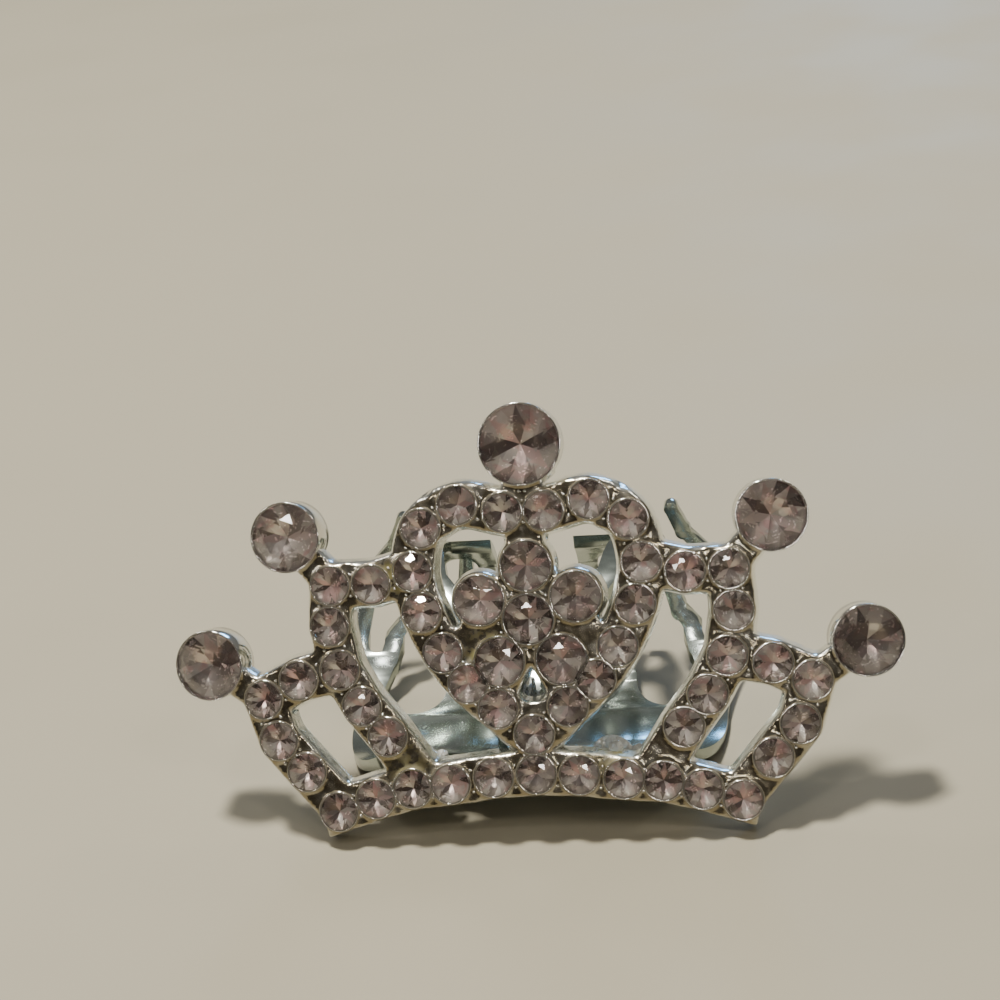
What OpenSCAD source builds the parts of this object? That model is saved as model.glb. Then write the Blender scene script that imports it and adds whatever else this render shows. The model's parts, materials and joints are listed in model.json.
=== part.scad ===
// Mini tiara: a cast crown set with round stones, glued to a small sprung hair claw.
// Millimetres. X is right, Y is back, Z is up. The crown leans back and the claw lies behind it.
// A place on the crown is given in the crown's own plane: x across it and z up along it.

/* [Stones] */
// Diameter of the small stones in the bars
small_d = 2.7; // [2.4:0.05:2.75]
// Diameter of the six medium stones in the heart
medium_d = 3.6; // [3.2:0.05:3.7]
// Diameter of the four side stones on necks
large_d = 5.1; // [4.2:0.1:5.2]
// Diameter of the top stone
top_d = 5.9; // [5:0.1:6.2]

/* [Crown] */
// Width of the bars
bar_w = 3.4; // [3.2:0.05:3.5]
// Width of the necks under the large stones
neck_w = 2.4; // [1.8:0.1:3]
// Thickness of the casting
cast_t = 2; // [1.8:0.1:2.4]
// Radius of the crown's bend at its face
bend_r = 200; // [150:10:260]
// Lean of the crown back from upright, in degrees
lean = 26; // [24:1:28]
// Width of a cup's rim
rim_w = 0.18; // [0.14:0.02:0.2]
// Height of a rim above the face
rim_h = 0.3; // [0.1:0.05:0.5]

/* [Claw] */
// Thickness of the claw's sheet metal
sheet_t = 0.9; // [0.7:0.1:1]
// Outer radius of the lower jaw's curve
lower_r = 14; // [13.8:0.1:14.2]
// Radius of the lower plate, seen from above
plate_r = 15.7; // [15.2:0.1:15.9]
// Outer radius of the upper jaw's curve
upper_r = 10.28; // [10.2:0.02:10.4]
// Radius of the hinge pin
pin_r = 0.5; // [0.4:0.05:0.6]
// Radius of the hinge's knuckles and ears
knuckle_r = 1.3; // [1.1:0.05:1.4]
// Length of the thumb lever from the upper jaw's bridge
lever_reach = 5; // [4.5:0.25:5.5]
// Diameter of the spring's wire
wire_d = 0.4; // [0.3:0.05:0.45]

/* [Hidden] */
$fn = 32;

// Height of the middle base stone, which stands the base bar's ends on the surface
lift = 5.335;
// Shift that puts the origin under the middle of the whole
set_forward = -12.74;
// How far the claw sits from the crown's middle
claw_side = -1.2;

// Right-hand half of each run of small stones: x, z
base_run = [[0, 0], [3.3, -0.16], [6.66, -0.58], [9.65, -0.85], [12.6, -1.6], [15.6, -2.55]];
heart_run = [[0, 3.03], [2.7, 5.1], [4.9, 7.1], [6.72, 9.53], [8.2, 12.7], [8.8, 15.85],
             [7.96, 19.15], [5.05, 20.8], [1.58, 20.1]];
upper_arm_run = [[11.4, 3.2], [13.3, 5.6], [14.9, 8.47], [15.55, 11.87], [15.35, 15.03],
                 [12.05, 15.0]];
lower_arm_run = [[18.0, 0.58], [20.15, 3.05], [21.2, 6.3], [18.3, 7.75]];
// Medium stones in the heart: x, z
heart_stones = [[0, 15.95], [-3.7, 13.45], [3.7, 13.45], [0, 11.86], [-2.4, 8.7], [2.4, 8.7]];
// Large stones: x, z
top_at = [0, 25.2];
upper_at = [18.7, 18.9];
end_at = [25.5, 9.1];
// Where bars meet without a stone: the upper arm's foot and the base bar's square end
arm_foot = [9.2, 0];
arm_start = [15.2, -2.6];
base_end = [17.0, -3.0];
heart_tip = [-0.6, 2.6];
heart_top = [-0.6, 20.1];
// Half of the web behind the heart's stones, and the small window in it: x, z
web_half = [[1.3, 4.2], [4.9, 7.0], [6.9, 10.4], [4.9, 11.8], [3.2, 14.2], [0.8, 15.1]];
web_window = [[0, 8.4], [-1.5, 5.5], [1.5, 5.5]];
web_link_w = 2.9;
// Sine of the turn from which a bar's outer corner is rounded, and how deep the face's cups go
round_turn = 0.3;
face_cup = 0.45;

// Gap round a stone in its cup, and the depths of the cups
seat_gap = 0.05;
small_pocket = 1.15;
medium_pocket = 1.5;
large_pocket = 1.85;
top_pocket = 2.15;
cup_floor = 0.35;
// A stone's crown, pavilion and table as shares of its diameter, and its girdle's height
cut_crown = 0.15;
cut_pavilion = 0.36;
cut_table = 0.56;
girdle_z = 0.1;

// Middle of the lower jaw's curve in y and z, and of the plate's outline in y
lower_at = [13, lower_r];
plate_front = 3.3;
plate_mid = 14;
// Where the teeth turn from lying to standing
bend_y = 21.7;
bend_top = 4.4;
root_y = 17.9;
// Round bottoms of the gaps between the lower teeth: x, y, radius
gap_roots = [[3.6, 18.65, 2.65], [10.9, 17.9, 2.8], [14.45, 21.7, 0.75]];
// Lower teeth at x and to their mirror side: root x and width, bend x and width,
// then x, width and height at three stations up to the tip
lower_teeth = [
    [0, 1.8, 0, 1.5, [0, 1.4, 5.5], [0, 1.3, 6.5], [0, 1.1, 7.5]],
    [7.2, 1.85, 6.75, 1.6, [6.6, 1.5, 6], [6.5, 1.4, 8], [6.4, 1.1, 10]],
    [14.4, 1.7, 12.95, 1.6, [11.8, 1.4, 5.5], [10.9, 1.3, 8], [10.35, 1.1, 10.5]],
    [15.2, 1.7, 15.95, 1.5, [14.7, 1.4, 9.2], [12.5, 1.35, 11.5], [11.6, 1.2, 13.6]]
];
// Hinge axis in y and z
hinge_at = [6.3, 8.2];
hinge_gap = 0.05;
ear_x = 1.45;
ear_t = 0.7;
ear_foot = [[4.1, 3.3], [9.6, 1.0], [7.6, 8.2], [5.0, 8.2]];
knuckle_x = 2.3;
knuckle_t = 1.1;
pin_head_r = 0.85;
pin_head_t = 0.4;
// Gap round the ears and the pin's heads
hinge_room = 0.1;
// Middle of the upper jaw's curve in y and z
upper_at_yz = [15.73, 5.55];
// One arm of the upper jaw seen from above: x, y, and its width
arm_run = [[2.85, 5.6], [4.0, 8.6], [7.0, 13.0], [7.9, 18.0], [7.8, 22.4]];
arm_w = 1.9;
bridge_y = [7.8, 9.4];
band_x = [3.5, 9.4];
band_y = 21.8;
back_y = 23.0;
band_low = 11.3;
arch_at = [6.6, 9.9];
arch_r = 1.45;
// Upper teeth on each side: x and width at the band, x and width at the tip
upper_teeth = [[4.4, 1.5, 4.5, 1.0], [8.7, 1.3, 8.75, 0.9]];
upper_tip_z = 3.2;
// Where the thumb lever leaves the bridge in y and z, its width and its tilt from upright
lever_root = [8.9, 12.7];
lever_w = 4;
lever_tilt = 48;
coil_r = 0.95;
coil_turns = 4;
coil_steps = 14;
tail_reach = 2.5;

// Glue blobs: x, depth behind the face, z, radius
glue_spots = [[-9.7, 2.6, 1, 1.7], [5.7, 2.4, 0.8, 1.7]];
glue_gap = 0.05;

// Frames and helpers

function flip(run) = [for (p = run) [-p[0], p[1]]];
function both_sides(run) = concat(run, [for (p = run) if (p[0] > 0) [-p[0], p[1]]]);

module on_surface() {
    translate([0, set_forward, 0]) children();
}

module in_claw() {
    translate([claw_side, set_forward, 0]) children();
}

module in_crown() {
    translate([0, 0, lift]) rotate([-lean, 0, 0]) children();
}

// Stands the children on the crown's face at a place, with their z pointing outwards
module on_face(at) {
    turn = asin(at[0] / bend_r);
    translate([0, bend_r, at[1]]) rotate([0, 0, turn]) translate([0, -bend_r, 0])
        rotate([90, 0, 0]) children();
}

// Turns the children's x and y into x and z, and draws them from front to back
module from_front(y0, y1) {
    translate([0, y1, 0]) rotate([90, 0, 0]) linear_extrude(y1 - y0) children();
}

function normal(a, b) = [a[1] - b[1], b[0] - a[0]] / norm(b - a);

// Points beside a run, at a distance to its left: mitred where it is straight or turns inwards,
// and rounded by short edges where it turns outwards
function beside(run, off) = [for (i = [0 : len(run) - 1])
    let (last = len(run) - 1,
         before = i == 0 ? normal(run[0], run[1]) : normal(run[i - 1], run[i]),
         after = i == last ? before : normal(run[i], run[i + 1]),
         turn = before[0] * after[1] - before[1] * after[0])
        each off * turn < -round_turn * abs(off)
            ? [for (t = [0, 0.33, 0.67, 1]) let (way = (1 - t) * before + t * after)
                run[i] + off * way / norm(way)]
            : [run[i] + off * (before + after) / (1 + before * after)]];
function backwards(run) = [for (i = [len(run) - 1 : -1 : 0]) run[i]];

// A bar of one width along a run of points
module strip(run, w) {
    polygon(concat(beside(run, w / 2), backwards(beside(run, -w / 2))));
}

// Solid between two circles round an axis along x
module curved_sheet(at, r, t, half_w) {
    translate([-half_w, at[0], at[1]]) rotate([0, 90, 0]) difference() {
        cylinder(r = r, h = 2 * half_w, $fn = 96);
        translate([0, 0, -1]) cylinder(r = r - t, h = 2 * half_w + 2, $fn = 96);
    }
}

// Crown

module half_outline() {
    strip(concat([heart_tip], heart_run, [heart_top]), bar_w);
    strip(concat([arm_foot], upper_arm_run, [heart_run[5]]), bar_w);
    strip(concat([arm_start], lower_arm_run, [upper_arm_run[2]]), bar_w);
    strip([upper_arm_run[4], upper_at], neck_w);
    strip([lower_arm_run[2], end_at], neck_w);
}

module web() {
    difference() {
        union() {
            polygon(concat(web_half, backwards(flip(web_half))));
            strip([heart_stones[0], top_at], web_link_w);
            for (p = heart_stones) translate(p) circle(d = medium_d + 4 * rim_w);
        }
        polygon(web_window);
    }
}

module cup(at, d, depth) {
    on_face(at) translate([0, 0, -depth]) cylinder(d = d + 2 * rim_w, h = depth + rim_h);
}

module pocket(at, d, depth) {
    on_face(at) translate([0, 0, -depth]) cylinder(d = d + 2 * seat_gap, h = depth + 3);
}

base_line = concat(flip([base_end]), backwards(flip([for (i = [1 : 5]) base_run[i]])), base_run,
                   [base_end]);
small_places = concat(both_sides(base_run), both_sides(heart_run), both_sides(upper_arm_run),
                      both_sides(lower_arm_run));
large_places = both_sides([upper_at, end_at]);

module crown_frame() {
    color("silver") on_surface() in_crown() difference() {
        union() {
            intersection() {
                from_front(-2, 12) union() {
                    strip(base_line, bar_w);
                    half_outline();
                    mirror([1, 0]) half_outline();
                    web();
                }
                translate([0, bend_r, -20]) difference() {
                    cylinder(r = bend_r, h = 60, $fn = 360);
                    cylinder(r = bend_r - cast_t, h = 60, $fn = 360);
                }
            }
            for (p = small_places) cup(p, small_d, face_cup);
            for (p = heart_stones) cup(p, medium_d, face_cup);
            for (p = large_places) cup(p, large_d, large_pocket + cup_floor);
            cup(top_at, top_d, top_pocket + cup_floor);
        }
        for (p = small_places) pocket(p, small_d, small_pocket);
        for (p = heart_stones) pocket(p, medium_d, medium_pocket);
        for (p = large_places) pocket(p, large_d, large_pocket);
        pocket(top_at, top_d, top_pocket);
    }
}

// Stones

// A round cut stone: a table of eight sides, a girdle of sixteen and a pointed pavilion
module cut_stone(d) {
    table = [for (i = [0 : 7]) let (a = 45 * i) [cut_table * d / 2 * cos(a),
             cut_table * d / 2 * sin(a), cut_crown * d]];
    girdle = [for (i = [0 : 15]) let (a = 22.5 * i) [d / 2 * cos(a), d / 2 * sin(a), 0]];
    points = concat(table, girdle, [[0, 0, -cut_pavilion * d]]);
    faces = concat(
        [[for (i = [7 : -1 : 0]) i]],
        [for (i = [0 : 7]) [i, 8 + (2 * i + 1) % 16, 8 + 2 * i]],
        [for (i = [0 : 7]) [i, (i + 1) % 8, 8 + (2 * i + 1) % 16]],
        [for (i = [0 : 7]) [(i + 1) % 8, 8 + (2 * i + 2) % 16, 8 + (2 * i + 1) % 16]],
        [for (i = [0 : 15]) [8 + i, 8 + (i + 1) % 16, 24]]
    );
    polyhedron(points, faces);
}

module stones(run, d) {
    color("thistle") on_surface() in_crown()
        for (p = run) on_face(p) translate([0, 0, girdle_z]) cut_stone(d);
}

module top_stone() { stones([top_at], top_d); }
module upper_stone(side) { stones([[side * upper_at[0], upper_at[1]]], large_d); }
module end_stone(side) { stones([[side * end_at[0], end_at[1]]], large_d); }
module heart_stone(n) { stones([heart_stones[n - 1]], medium_d); }
module base_row() { stones(both_sides(base_run), small_d); }
module heart_row() { stones(both_sides(heart_run), small_d); }
module upper_arm_row_right() { stones(upper_arm_run, small_d); }
module upper_arm_row_left() { stones(flip(upper_arm_run), small_d); }
module lower_arm_row_right() { stones(lower_arm_run, small_d); }
module lower_arm_row_left() { stones(flip(lower_arm_run), small_d); }

// Claw, lower half

function tooth_sides(x0, w0, v0, x1, w1, v1) =
    [[x0 - w0 / 2, v0], [x0 + w0 / 2, v0], [x1 + w1 / 2, v1], [x1 - w1 / 2, v1]];

module lower_plan_half() {
    difference() {
        union() {
            polygon([[-1, plate_mid], [plate_r, plate_mid], [16.7, bend_y], [12.2, bend_y],
                     [13.2, root_y], [8.2, root_y], [8.1, 18.65], [-1, 18.65]]);
            intersection() {
                translate([0, plate_mid]) circle(r = plate_r, $fn = 96);
                translate([-1, plate_front]) square([20, plate_mid - plate_front + 0.01]);
            }
        }
        for (g = gap_roots) translate([g[0], g[1]]) circle(r = g[2]);
    }
    for (t = lower_teeth) polygon(tooth_sides(t[0], t[1], root_y, t[2], t[3], bend_y));
}

module lower_front_half() {
    for (t = lower_teeth) {
        polygon(tooth_sides(t[2], t[3], 2.4, t[2], t[3], bend_top));
        polygon(tooth_sides(t[2], t[3], bend_top, t[4][0], t[4][1], t[4][2]));
        polygon(tooth_sides(t[4][0], t[4][1], t[4][2], t[5][0], t[5][1], t[5][2]));
        polygon(tooth_sides(t[5][0], t[5][1], t[5][2], t[6][0], t[6][1], t[6][2]));
        translate([t[4][0], t[4][2]]) circle(d = t[4][1]);
        translate([t[5][0], t[5][2]]) circle(d = t[5][1]);
        translate([t[6][0], t[6][2]]) circle(d = t[6][1]);
    }
}

module ear(side) {
    x0 = side > 0 ? ear_x : -ear_x - ear_t;
    translate([x0, 0, 0]) rotate([90, 0, 90]) linear_extrude(ear_t) union() {
        polygon(ear_foot);
        translate(hinge_at) circle(r = knuckle_r);
    }
}

module lower_jaw() {
    color("slategray") in_claw() difference() {
        union() {
            intersection() {
                curved_sheet(lower_at, lower_r, sheet_t, 20);
                union() {
                    translate([0, 0, -1]) linear_extrude(7) union() {
                        lower_plan_half();
                        mirror([1, 0]) lower_plan_half();
                    }
                    from_front(bend_y, 30) union() {
                        lower_front_half();
                        mirror([1, 0]) lower_front_half();
                    }
                }
            }
            difference() {
                union() {
                    ear(1);
                    ear(-1);
                }
                below_lower_sheet();
            }
        }
        along_hinge(pin_r + hinge_gap, 4 * ear_x);
    }
}

// The space outside the lower jaw's curve, where the ears don't reach
module below_lower_sheet() {
    translate([-5, lower_at[0], lower_at[1]]) rotate([0, 90, 0]) difference() {
        cylinder(r = lower_r + 8, h = 10, $fn = 96);
        translate([0, 0, -1]) cylinder(r = lower_r - sheet_t / 2, h = 12, $fn = 96);
    }
}

module along_hinge(r, w) {
    translate([-w / 2, hinge_at[0], hinge_at[1]]) rotate([0, 90, 0]) cylinder(r = r, h = w);
}

// Claw, upper half

module upper_plan_half() {
    strip(arm_run, arm_w);
    translate([-1, bridge_y[0]]) square([arm_run[1][0] + 1, bridge_y[1] - bridge_y[0]]);
    translate([band_x[0], band_y]) square([band_x[1] - band_x[0], back_y - band_y]);
}

module upper_front_half() {
    difference() {
        translate([band_x[0], band_low - 1.4]) square([band_x[1] - band_x[0], 4.4]);
        translate(arch_at) circle(r = arch_r);
    }
    for (t = upper_teeth) {
        polygon(tooth_sides(t[2], t[3], upper_tip_z, t[0], t[1], band_low));
        translate([t[2], upper_tip_z]) circle(d = t[3]);
    }
}

module knuckle(side) {
    x0 = side > 0 ? knuckle_x : -knuckle_x - knuckle_t;
    translate([x0, hinge_at[0], hinge_at[1]]) rotate([0, 90, 0])
        cylinder(r = knuckle_r, h = knuckle_t);
}

module lever() {
    translate([0, lever_root[0], lever_root[1]]) rotate([-lever_tilt, 0, 0])
        translate([0, sheet_t / 2, 0]) rotate([90, 0, 0]) linear_extrude(sheet_t) union() {
            translate([-lever_w / 2, 0]) square([lever_w, lever_reach - lever_w / 2]);
            translate([0, lever_reach - lever_w / 2]) circle(d = lever_w);
        }
}

module upper_jaw() {
    color("slategray") in_claw() difference() {
        union() {
            intersection() {
                curved_sheet(upper_at_yz, upper_r, sheet_t, 12);
                union() {
                    translate([0, 0, hinge_at[1]]) linear_extrude(12) union() {
                        upper_plan_half();
                        mirror([1, 0]) upper_plan_half();
                    }
                    from_front(back_y, 30) union() {
                        upper_front_half();
                        mirror([1, 0]) upper_front_half();
                    }
                }
            }
            knuckle(1);
            knuckle(-1);
            lever();
        }
        along_hinge(pin_r + hinge_gap, 4 * knuckle_x);
        along_hinge(knuckle_r + hinge_room, 2 * knuckle_x);
        for (side = [0, 1]) mirror([side, 0, 0])
            translate([knuckle_x + knuckle_t + hinge_gap / 2, hinge_at[0], hinge_at[1]])
                rotate([0, 90, 0]) cylinder(r = pin_head_r + hinge_room, h = 3);
    }
}

module hinge_pin() {
    end_x = knuckle_x + knuckle_t + 2 * hinge_gap;
    color("gainsboro") in_claw() {
        along_hinge(pin_r, 2 * end_x);
        for (side = [0, 1]) mirror([side, 0, 0])
            translate([end_x, hinge_at[0], hinge_at[1]]) rotate([0, 90, 0])
                cylinder(r = pin_head_r, h = pin_head_t);
    }
}

// Round wire swept along points by rings of six
module wire(path, d) {
    last = len(path) - 1;
    rings = [for (i = [0 : last])
        let (a = path[max(i - 1, 0)], b = path[min(i + 1, last)], way = (b - a) / norm(b - a),
             u0 = cross(way, [0, 0.6, 0.8]), u = u0 / norm(u0), v = cross(way, u))
        for (k = [0 : 5]) path[i] + d / 2 * (cos(60 * k) * u + sin(60 * k) * v)];
    sides = [for (i = [0 : last - 1]) for (k = [0 : 5])
        [6 * i + k, 6 * i + (k + 1) % 6, 6 * i + 6 + (k + 1) % 6, 6 * i + 6 + k]];
    polyhedron(rings, concat(sides, [[for (k = [5 : -1 : 0]) k]], [[for (k = [0 : 5]) 6 * last + k]]));
}

module torsion_spring() {
    pitch = wire_d + 0.12;
    start = -pitch * coil_turns / 2;
    coil = [for (i = [0 : coil_turns * coil_steps])
        let (a = 360 * i / coil_steps) [start + pitch * i / coil_steps,
             -coil_r * cos(a), coil_r * sin(a)]];
    first_tail = [start, -coil_r, -tail_reach];
    last_tail = [-start, -coil_r, tail_reach];
    color("dimgray") in_claw() translate([0, hinge_at[0], hinge_at[1]])
        wire(concat([first_tail], coil, [last_tail]), wire_d);
}

// Glue

module glue(spot) {
    reach = abs(spot[0]) + spot[3];
    back = bend_r - sqrt(pow(bend_r - cast_t, 2) - reach * reach);
    color("lightyellow") on_surface() difference() {
        in_crown() difference() {
            translate([spot[0], spot[1], spot[2]]) sphere(r = spot[3]);
            translate([spot[0] - 4, back + glue_gap - 10, spot[2] - 4]) cube([8, 10, 8]);
        }
        translate([spot[0] - 4, plate_front - glue_gap, 0]) cube([8, 10, 12]);
    }
}

crown_frame();
top_stone();
upper_stone(-1);  // upper_stone_left
upper_stone(1);  // upper_stone_right
end_stone(-1);  // end_stone_left
end_stone(1);  // end_stone_right
heart_stone(1);  // heart_stone_1
heart_stone(2);  // heart_stone_2
heart_stone(3);  // heart_stone_3
heart_stone(4);  // heart_stone_4
heart_stone(5);  // heart_stone_5
heart_stone(6);  // heart_stone_6
base_row();
heart_row();
upper_arm_row_left();
upper_arm_row_right();
lower_arm_row_left();
lower_arm_row_right();
lower_jaw();
upper_jaw();
hinge_pin();
torsion_spring();
glue(glue_spots[0]);  // glue_left
glue(glue_spots[1]);  // glue_right
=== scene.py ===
"""The looks of the mini tiara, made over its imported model.

The casting is softened, every stone is cut afresh with more facets and set in a turned rim
between small beads, the claw's sheet gets rounded edges, and each part gets its own procedural
finish. Lengths are in metres.
"""

import json
import math
import random
from contextlib import contextmanager

import bmesh
import bpy
from bpy.props import FloatProperty, FloatVectorProperty, IntProperty, PointerProperty
from mathutils import Matrix, Vector, geometry
from mathutils.kdtree import KDTree


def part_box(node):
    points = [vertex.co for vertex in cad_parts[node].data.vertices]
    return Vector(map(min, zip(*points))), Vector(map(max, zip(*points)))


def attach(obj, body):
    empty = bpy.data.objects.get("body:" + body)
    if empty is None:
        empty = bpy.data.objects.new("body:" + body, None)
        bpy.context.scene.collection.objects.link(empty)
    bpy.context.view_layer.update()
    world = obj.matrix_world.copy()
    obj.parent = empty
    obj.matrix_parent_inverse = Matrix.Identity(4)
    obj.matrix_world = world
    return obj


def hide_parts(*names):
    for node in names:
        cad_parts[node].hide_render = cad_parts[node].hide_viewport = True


bl_info = {
    "name": "Mini tiara",
    "version": (1, 0, 0),
    "blender": (4, 5, 0),
    "location": "3D View > Sidebar > Tiara",
    "description": "Dresses the packed tiara: casting, cut stones, steel claw, glue and a stage",
    "category": "Object",
}

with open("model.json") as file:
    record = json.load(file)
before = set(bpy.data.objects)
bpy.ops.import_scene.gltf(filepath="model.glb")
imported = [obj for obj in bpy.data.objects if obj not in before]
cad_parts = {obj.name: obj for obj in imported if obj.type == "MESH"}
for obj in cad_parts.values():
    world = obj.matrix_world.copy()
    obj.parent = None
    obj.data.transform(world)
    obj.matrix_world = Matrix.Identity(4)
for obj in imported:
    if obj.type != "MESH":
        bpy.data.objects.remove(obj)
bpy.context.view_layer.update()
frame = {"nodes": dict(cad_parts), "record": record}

STONE_NODES = [
    part["node"] for part in frame["record"]["subparts"] if part["material_slot"] == "stone"
]

# Mesh values: a facet's painted light, over 1 where it is rosy, and grime and painted shadow on
# metal
FACET_SHINE = "facet_shine"
FACE_GRIME_AND_SHADOW = "face_grime_and_shadow"
# Levels of the mark on metal: bright, grimy, and dark as painted shadow round the small stones
BRIGHT, GRIMY, OUTLINE_SHADOW = 0.0, 1.0, 2.0

# Seats under the first radius hold small stones, and seats over the second the five large ones
SMALL_SEAT = 0.0015
LARGE_SEAT = 0.0023

MERGE = 1e-6  # corners closer than this are one

# Limits of the work on the casting
HEART_REACH = 0.00028  # walls further than this from the heart's even outline stay as they are
GLASS_CLEAR = 0.0002  # metal nearer than this to a stone keeps its outline
CUP_CLEAR = 0.0004  # metal nearer than this to a large stone keeps its walls
FLARE_DEPTH = 0.002  # the depth at which the walls flare fully
FOOT = 0.003  # the walls start to change at half this height and change fully at one and a half
PRESSED = 0.9  # how much of its height over the girdle a small stone's cast rim loses
FACE_FROM, FACE_OVER = 0.5, 0.35  # the cosine at which soil starts on the face, and its ramp
CURVE_STEPS = 12  # points of the heart's curve from one stone to the next

# How the stones are cut and the painted light on their facets
GIRDLE = 0.95  # corners further out than this share of the radius are on the girdle
HALF_STEP, QUARTER_STEP = 22.5, 11.25  # parts of the step between two of eight facets, in degrees
STONE_MERGE = 1e-4  # the same as MERGE, on a stone of diameter 1
FOILED = -0.05  # facets that face down more than this are foiled
BROAD_FACET = -0.828  # the broad facets round the point face down more than this
# Painted light and shade: this share of the facets is drawn bright and the rest dark, within the
# ranges below
BRIGHT_SHARE = 0.6  # how many facets are bright
BRIGHT_RANGE, DARK_RANGE, ROSY_RANGE = (0.55, 1.0), (0.0, 0.3), (0.2, 1.0)
GOLDEN_ANGLE = math.radians(137.5)  # turn from each stone to the next

# Where beads go, by the stones' and the bead's radii
NEIGHBOUR_GAP = 0.0011  # stones further apart than this have no beads between them
BEAD_ASIDE = 0.62  # distance from the line between two stones, of the smaller stone's radius
STONE_ROOM, BEAD_ROOM = 1.1, 0.8  # how much of both radii a bead keeps from every stone
BEAD_REACH = 1.2  # distance at which the casting still carries a bead
BEAD_FACING = 0.8  # the least cosine between the casting's way and the bead's
BEAD_HEIGHT = 0.85  # of its width
BEAD_SOIL = 0.3

# How far the residue reaches from the glue, from a corner and from the heart's web
GLUE_REACH, CORNER_REACH, WEB_REACH = 0.0034, 0.0018, 0.0022

# Each lump of a glue blob, as shares of half the blob: its place and its radius
GLUE_LUMPS = (
    (-0.8, -0.3, -0.4, 0.55),
    (0.75, 0.1, -0.2, 0.5),
    (0.2, -0.4, 0.7, 0.38),
    (1.25, 0.3, 0.25, 0.34),
    (-0.3, -0.8, 0.3, 0.3),
    (0.45, -0.9, -0.1, 0.26),
)

# Each light: its name, place, size, watts and tint
LIGHTS = (
    ("high_lamp", (-0.17, 0.13, 0.85), (0.1, 0.1), 17.0, (1.0, 0.96, 0.88)),
    ("left_lamp", (-0.4, 0.45, 0.5), (0.1, 0.1), 0.9, (1.0, 0.95, 0.87)),
    ("right_lamp", (0.4, 0.4, 0.55), (0.1, 0.1), 0.6, (1.0, 0.95, 0.87)),
    ("low_window", (0.15, 1.0, 0.3), (0.26, 0.1), 2.0, (0.25, 0.55, 1.0)),
    ("front_left", (-0.5, -0.4, 0.5), (0.07, 0.07), 0.5, (1.0, 0.95, 0.9)),
    ("front_right", (0.35, -0.4, 0.65), (0.08, 0.08), 0.9, (1.0, 0.94, 0.88)),
    ("front_high", (-0.1, -0.3, 0.8), (0.08, 0.08), 1.0, (1.0, 0.96, 0.92)),
    ("front_low", (0.12, -0.8, 0.4), (0.06, 0.06), 0.4, (1.0, 0.96, 0.92)),
)
ROOM_UP = (0.0, 0.5, 0.86)  # the way in which the room gets paler
ROOM_LOW = (0.10, 0.085, 0.07, 1)
ROOM_HIGH = (0.46, 0.46, 0.44, 1)
ROOM_STRENGTH = 0.45
FLOOR_GAP = 0.00002


# Sizes and colours


def length(name, description, default):
    """A length with enough digits for a jewel."""
    return FloatProperty(
        name=name, description=description, default=default, min=0, precision=6, unit="LENGTH"
    )


def proportion(name, description, default):
    return FloatProperty(name=name, description=description, default=default)


def times(name, description, default):
    return IntProperty(name=name, description=description, default=default, min=0)


def angle(name, description, degrees):
    return FloatProperty(
        name=name, description=description, default=math.radians(degrees), subtype="ANGLE"
    )


def colour(name, description, default):
    return FloatVectorProperty(
        name=name, description=description, default=default, size=3, min=0, max=1, subtype="COLOR"
    )


class CastingSettings(bpy.types.PropertyGroup):
    cell: length("Mesh cell", "Size of the mesh cells of the softened casting", 0.000165)
    soften: times("Softening", "How often the casting's edges are smoothed", 5)
    rounding: times("Rounding", "How often the bars' outlines are smoothed", 30)
    flare: length("Flare", "How much wider the bars are at the back than at the face", 0.0003)
    half_bar: length("Half bar", "Half the width of the heart's bar", 0.0017)
    # A collar of painted shadow round each small stone
    shadow_collar: length("Collar", "Width of the soiled ring round a small stone", 0.0004)
    rim_gap: length("Rim gap", "Dark gap between a stone and its rim", 0.00005)
    rim_width: length("Rim width", "Width of the metal rim round a stone", 0.0001)
    rim_height: length("Rim height", "Height of a small rim above a stone's girdle", 0.00003)
    rim_depth: length("Rim depth", "Depth of a small rim below a stone's girdle", 0.0003)
    cup_width: length("Cup width", "Wall thickness of a large stone's cup", 0.00012)
    cup_height: length("Cup height", "Height of a large cup above a stone's girdle", 0.0002)
    cup_depth: length("Cup depth", "Depth of a large cup below a stone's girdle", 0.0025)
    bead_radius: length("Bead radius", "Radius of the beads that hold the stones", 0.00013)
    silver: colour("Silver", "Bright silver plate", (0.86, 0.86, 0.81))
    grime: colour("Grime", "Olive brown on the face between the stones", (0.30, 0.26, 0.18))
    # The dark brown of the painted shade in the crevices and of the painted shadow round small
    # stones
    shade_brown: colour("Tarnish", "Dark brown in the crevices", (0.10, 0.085, 0.055))
    residue: colour("Residue", "Old glue and dirt between the bars", (0.30, 0.27, 0.11))


class StoneSettings(bpy.types.PropertyGroup):
    table: proportion("Table", "Width of the table as a share of the stone", 0.56)
    crown: proportion("Crown", "Height above the girdle as a share of the stone", 0.19)
    pavilion: proportion("Pavilion", "Depth below the girdle as a share of the stone", 0.34)
    small_scale: proportion("Small stones", "Radius of a small stone's glass in its seat", 1.05)
    large_scale: proportion("Large stones", "Radius of the other stones' glass", 1.02)
    glass: colour("Glass", "Tint of the clear glass", (0.99, 0.97, 0.96))
    # The bright and dark foils are painted light and shade on the facets
    foil_bright: colour("Bright foil", "Facets that catch the light", (0.80, 0.76, 0.70))
    foil_dark: colour("Dark foil", "Facets that lie in the shade", (0.15, 0.115, 0.105))
    foil_rose: colour("Rose foil", "Rosy patches of the foil", (0.74, 0.50, 0.47))


class ClawSettings(bpy.types.PropertyGroup):
    edge: length("Edge", "Rounding of the sheet's edges", 0.00010)
    head: length("Pin head", "Rounding of the pin's heads", 0.00012)
    steel: colour("Steel", "Polished green-grey plate of the claw", (0.40, 0.445, 0.41))
    dust: colour("Dust", "Pale specks of dust on the plate", (0.9, 0.9, 0.88))
    wire: colour("Wire", "Plain steel of the pin and the spring", (0.42, 0.43, 0.43))


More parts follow.
